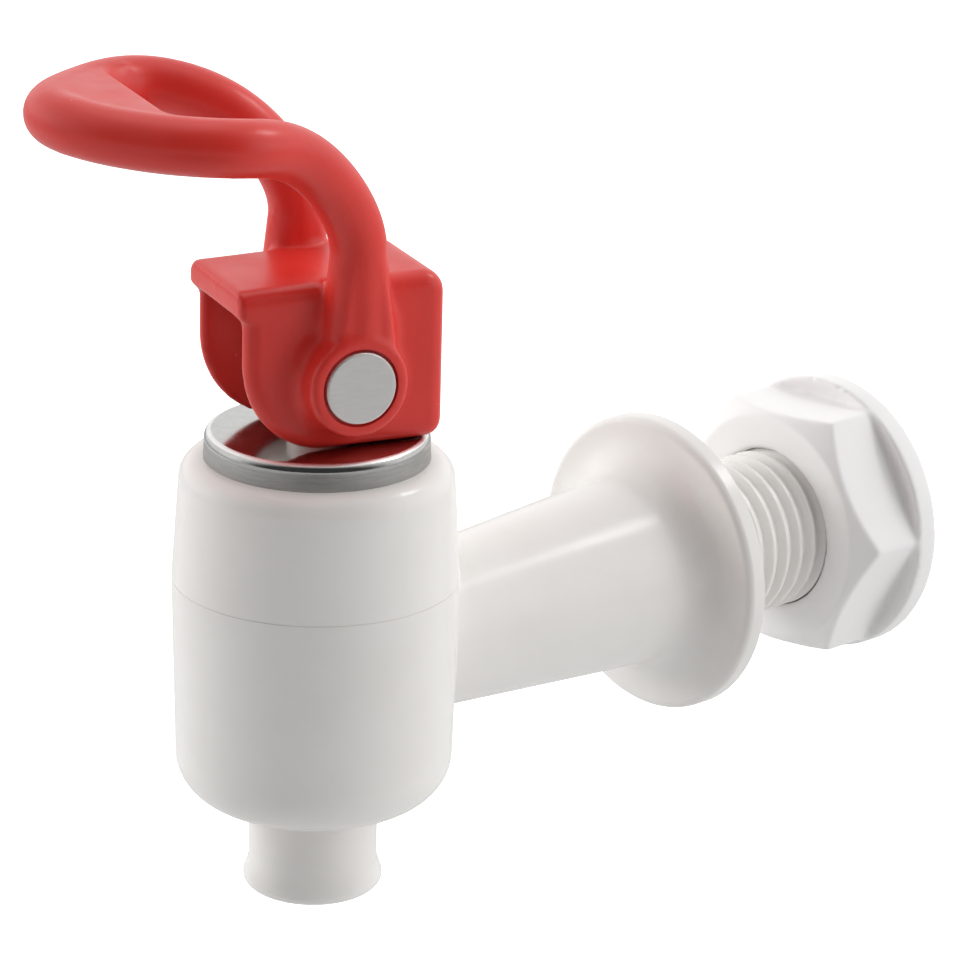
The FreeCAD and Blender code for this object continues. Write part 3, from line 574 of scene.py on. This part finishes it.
def arm_radius(rise):
    """Half the arm's width, front to back, at a height above the pin."""
    part = (max(rise, ARM_ROOT[0]) - ARM_ROOT[0]) / (ARM_TOP[0] - ARM_ROOT[0])
    return ARM_ROOT[1] + (ARM_TOP[1] - ARM_ROOT[1]) * part


def arm_blend(side):
    """Concave blend from a cheek to the arm on it, dying out towards the block's top."""
    layers = []
    for rise, blend in ARM_BLEND:
        arm = arm_radius(rise)
        inwards = blend - (ARM_OFFSET - CHEEK_FACE)
        wide = math.sqrt((arm + blend) ** 2 - inwards ** 2)
        touch = math.degrees(math.atan2(-wide, -inwards))
        curve = arc((CHEEK_FACE + blend, wide), blend, 180, 360 + touch, steps=10)
        half = [(CHEEK_FACE - SKIN, wide)] + curve
        outline = half + [(out, -front) for out, front in reversed(half)]
        base = pin_centre + UP * rise - lever_front * ARM_LEAN
        layers.append([base + lever_side * side * out + lever_front * front for out, front in outline])
    return add_layers("arm_blend", layers, looped=False)


def boss_blend(side):
    """Concave blend round a boss."""
    profile = [(BOSS_RADIUS - SKIN, CHEEK_FACE - SKIN), (BOSS_RADIUS + BOSS_BLEND, CHEEK_FACE - SKIN)]
    profile += arc((BOSS_RADIUS + BOSS_BLEND, CHEEK_FACE + BOSS_BLEND), BOSS_BLEND, 270, 180, steps=12)
    profile += [(BOSS_RADIUS - SKIN, CHEEK_FACE + BOSS_BLEND)]
    return add_lathe("boss_blend", profile, pin_centre, lever_side * side, lever_front)


def make_lever():
    """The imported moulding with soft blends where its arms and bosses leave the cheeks.

    The pin's bore and the recesses round its ends are stopped up first and cut again
    afterwards."""
    lever = copy_of("lever", "lever_moulding")
    plug_length = BOSS_FACE - CHEEK_INSIDE - 2 * PLUG_INSET
    for side in (-1, 1):
        middle = pin_centre + lever_side * side * (BOSS_FACE + CHEEK_INSIDE) / 2
        combine(lever, add_cylinder("plug", middle, lever_side, PLUG_RADIUS, plug_length), "UNION")
        combine(lever, boss_blend(side), "UNION")
        combine(lever, arm_blend(side), "UNION")
    mould(lever, **LEVER_MOULD)
    combine(lever, add_cylinder("bore", pin_centre, lever_side, PIN_BORE, 3 * BOSS_FACE), "DIFFERENCE")
    for side in (-1, 1):
        place = pin_centre + lever_side * side * BOSS_FACE
        mouth = add_cylinder("mouth", place, lever_side, MOUTH_RADIUS, 2 * MOUTH_DEPTH)
        combine(lever, mouth, "DIFFERENCE")
    dress(lever, red_lever, sharp_above=60.0)
    return lever


lever = make_lever()
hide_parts("lever")
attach(lever, "lever_set")


# Nut
NUT_MOULD = {"inner": 0.3, "outer": 0.3, "voxel": 0.24, "passes": 2}
NUT_CORNER = 17.38 * MM
NUT_TURN = 3.0
NUT_BORE = 10.08 * MM
NUT_BORE_CUT = 50 * MM
HEX_LENGTH = 9.1 * MM
HEX_SINK = 1.65 * MM
SCOOP_INNER = 14.8 * MM
SCOOP_OUTER = 17.3 * MM
SCOOP_DEPTH = 1.1 * MM
SCOOP_SPARE = 0.1 * MM


def hexagon_solid(front, back):
    """The nut's hexagon between two places along the shank."""
    turns = [math.radians(60 * i + NUT_TURN) for i in range(6)]
    layers = []
    for place in (front, back):
        layers.append([Vector((NUT_CORNER * math.cos(turn), place, NUT_CORNER * math.sin(turn)))
                       for turn in turns])
    return add_layers("hexagon", layers, looped=False)


def make_nut():
    """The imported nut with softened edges, its flange scooped out between the hexagon's corners.

    The scoop is cut all the way round, and the hexagon is put back into it."""
    nut = copy_of("shank_nut", "shank_nut_moulding")
    flange_front = nut_low.y + HEX_LENGTH
    scoop = [(SCOOP_INNER, flange_front - SCOOP_SPARE), (SCOOP_OUTER, flange_front - SCOOP_SPARE),
             (SCOOP_OUTER, flange_front), (SCOOP_INNER, flange_front + SCOOP_DEPTH)]
    combine(nut, add_lathe("scoop", scoop, Vector(), ALONG, SIDEWAYS), "DIFFERENCE")
    combine(nut, hexagon_solid(nut_low.y + HEX_LENGTH / 2, flange_front + HEX_SINK), "UNION")
    mould(nut, **NUT_MOULD)
    bore = add_cylinder("nut_bore", (nut_low + nut_high) / 2, ALONG, NUT_BORE, NUT_BORE_CUT)
    combine(nut, bore, "DIFFERENCE")
    dress(nut, white_nut, sharp_above=60.0)
    return nut


nut = make_nut()
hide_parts("shank_nut")
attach(nut, "nut")


# Wear cap
CAP_RIM = 1.0 * MM
CAP_SHEET = 0.5 * MM
CAP_HOLE = 4.06 * MM
CAP_BEAD = 0.07 * MM
BEAD_HEIGHT = 0.3 * MM
BEAD_END = 0.7 * MM


def make_cap():
    """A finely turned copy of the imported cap, with a tighter rim and a faint bead on its foot."""
    radius = (cap_high.x - cap_low.x) / 2
    foot = cap_low.z
    top = cap_high.z
    profile = [(radius - CAP_SHEET, foot), (radius + CAP_BEAD, foot),
               (radius + CAP_BEAD, foot + BEAD_HEIGHT), (radius, foot + BEAD_END)]
    profile += arc((radius - CAP_RIM, top - CAP_RIM), CAP_RIM, 0, 90, steps=14)
    profile += [(CAP_HOLE, top), (CAP_HOLE, top - CAP_SHEET), (radius - CAP_SHEET, top - CAP_SHEET)]
    cap = add_lathe("wear_cap_turned", profile, cup_axis, UP, SIDEWAYS, points=256)
    dress(cap, polished_steel, sharp_above=40.0)
    return cap


cap = make_cap()
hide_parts("wear_cap")
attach(cap, "tap")


# Floor
FLOOR_DROP = 0.15
FLOOR_HALF = 30.0
FLOOR_GLOW = 0.95
FLOOR_GREY = (0.68, 0.68, 0.68)
# Painted shade: a dark patch in the floor's colour, seen only in reflections, round this centre
REFLECTED_SHADE_GREY = (0.05, 0.05, 0.05)
REFLECTED_SHADE_CENTRE = (0.35, -0.36, -FLOOR_DROP)
REFLECTED_SHADE_CORE = 0.10
REFLECTED_SHADE_EDGE = 0.40


def floor_white():
    """Pale grey that glows white for the camera.

    Towards the camera's side the floor's colour is painted dark for reflections only: a painted shade
    patch that the steel shows as a dark band."""
    material, tree, shader = new_material("floor_white")
    distance = tree.nodes.new("ShaderNodeVectorMath")
    distance.operation = "DISTANCE"
    distance.inputs[1].default_value = REFLECTED_SHADE_CENTRE
    tree.links.new(position(tree), distance.inputs[0])
    rays = tree.nodes.new("ShaderNodeLightPath")
    # Painted shade patch, only for glossy rays
    reflected_shade = soft_ramp(tree, distance.outputs["Value"], 1.0, 0.0, REFLECTED_SHADE_CORE, REFLECTED_SHADE_EDGE)
    in_reflected_shade = multiply(tree, reflected_shade, rays.outputs["Is Glossy Ray"])
    tree.links.new(tint(tree, in_reflected_shade, FLOOR_GREY, REFLECTED_SHADE_GREY), shader.inputs["Base Color"])
    shader.inputs["Roughness"].default_value = 0.9
    glow = tree.nodes.new("ShaderNodeEmission")
    glow.inputs["Strength"].default_value = FLOOR_GLOW
    both = tree.nodes.new("ShaderNodeAddShader")
    tree.links.new(shader.outputs["BSDF"], both.inputs[0])
    tree.links.new(glow.outputs["Emission"], both.inputs[1])
    seen = tree.nodes.new("ShaderNodeMixShader")
    tree.links.new(rays.outputs["Is Camera Ray"], seen.inputs["Fac"])
    tree.links.new(shader.outputs["BSDF"], seen.inputs[1])
    tree.links.new(both.outputs["Shader"], seen.inputs[2])
    tree.links.new(seen.outputs["Shader"], tree.nodes["Material Output"].inputs["Surface"])
    return material


def add_floor():
    """A wide floor well below the tap, which hangs at its shank's height."""
    corners = [(x * FLOOR_HALF, y * FLOOR_HALF, -FLOOR_DROP)
               for x, y in ((-1, -1), (1, -1), (1, 1), (-1, 1))]
    mesh = bpy.data.meshes.new("floor")
    mesh.from_pydata(corners, [], [(0, 1, 2, 3)])
    mesh.materials.append(floor_white())
    return add_object("floor", mesh)


floor = add_floor()


# Camera at the photograph's place
CAMERA_PLACE = Vector((330.618, -325.774, 174.334)) * MM
CAMERA_RIGHT = Vector((0.65998, 0.75088, 0.02462))
CAMERA_VIEW = Vector((-0.70236, 0.62831, -0.33454))


def add_camera():
    """A long lens that looks along the viewing direction."""
    data = bpy.data.cameras.new("camera")
    data.sensor_width = 36.0
    data.lens = 150.0
    data.clip_start = 0.01
    data.clip_end = 100.0
    camera = add_object("camera", data)
    turn = Matrix((CAMERA_RIGHT, CAMERA_RIGHT.cross(CAMERA_VIEW), -CAMERA_VIEW)).transposed()
    camera.matrix_world = Matrix.Translation(CAMERA_PLACE) @ turn.to_4x4()
    return camera


bpy.context.scene.camera = add_camera()


# Light tent: its strength at the opening and at the back, and where it changes between them
LIGHTING_TENT = {"low": 0.11, "high": 1.8, "start": -0.84, "end": -0.1}
MIRRORED_TENT = {"low": 0.05, "high": 1.0, "start": -0.6, "end": 0.05}
DIMMING_ABOVE = {"low": 1.0, "high": 0.29, "start": 0.2, "end": 0.95}


def add_tent():
    """A light tent, white behind the tap and dimmer towards its opening on the camera's side.

    Three strengths are picked by the kind of ray: the light that falls on matt surfaces,
    which dims towards the tent's top as well; what reflections show, with a darker
    opening; and plain white for the camera."""
    world = bpy.data.worlds.new("tent")
    bpy.context.scene.world = world
    world.use_nodes = True
    tree = world.node_tree
    direction = tree.nodes.new("ShaderNodeTexCoord").outputs["Generated"]
    facing = tree.nodes.new("ShaderNodeVectorMath")
    facing.operation = "DOT_PRODUCT"
    facing.inputs[1].default_value = Vector((CAMERA_VIEW.x, CAMERA_VIEW.y, 0.0)).normalized()
    tree.links.new(direction, facing.inputs[0])
    heights = tree.nodes.new("ShaderNodeSeparateXYZ")
    tree.links.new(direction, heights.inputs[0])
    rays = tree.nodes.new("ShaderNodeLightPath")
    lighting = multiply(tree, soft_ramp(tree, facing.outputs["Value"], **LIGHTING_TENT),
                        ramp(tree, heights.outputs["Z"], **DIMMING_ABOVE))
    mirrored = soft_ramp(tree, facing.outputs["Value"], **MIRRORED_TENT)
    strength = mix(tree, "FLOAT", rays.outputs["Is Glossy Ray"], lighting, mirrored)
    strength = mix(tree, "FLOAT", rays.outputs["Is Camera Ray"], strength, 1.0)
    background = tree.nodes["Background"]
    background.inputs["Color"].default_value = (1.0, 1.0, 1.0, 1.0)
    tree.links.new(strength, background.inputs["Strength"])


add_tent()


# Lamps
def softbox(name, place, size, power, mirrored):
    """A soft lamp that looks at the middle of the tap, and may show in reflections."""
    data = bpy.data.lights.new(name, "AREA")
    data.shape = "SQUARE"
    data.size = size
    data.energy = power
    item = add_object(name, data)
    item.location = place
    aim = (cad_low + cad_high) / 2 - Vector(place)
    item.rotation_euler = aim.to_track_quat("-Z", "Y").to_euler()
    item.visible_glossy = mirrored


softbox("top", place=(-0.15, 0.0, 0.65), size=0.4, power=0.29, mirrored=True)
softbox("behind", place=(0.15, 0.40, 0.51), size=0.15, power=0.52, mirrored=True)
softbox("left", place=(-0.62, -0.35, 0.20), size=0.4, power=1.8, mirrored=False)
softbox("right", place=(0.55, 0.30, 0.20), size=0.4, power=1.02, mirrored=False)

bpy.context.scene.view_settings.view_transform = "Standard"
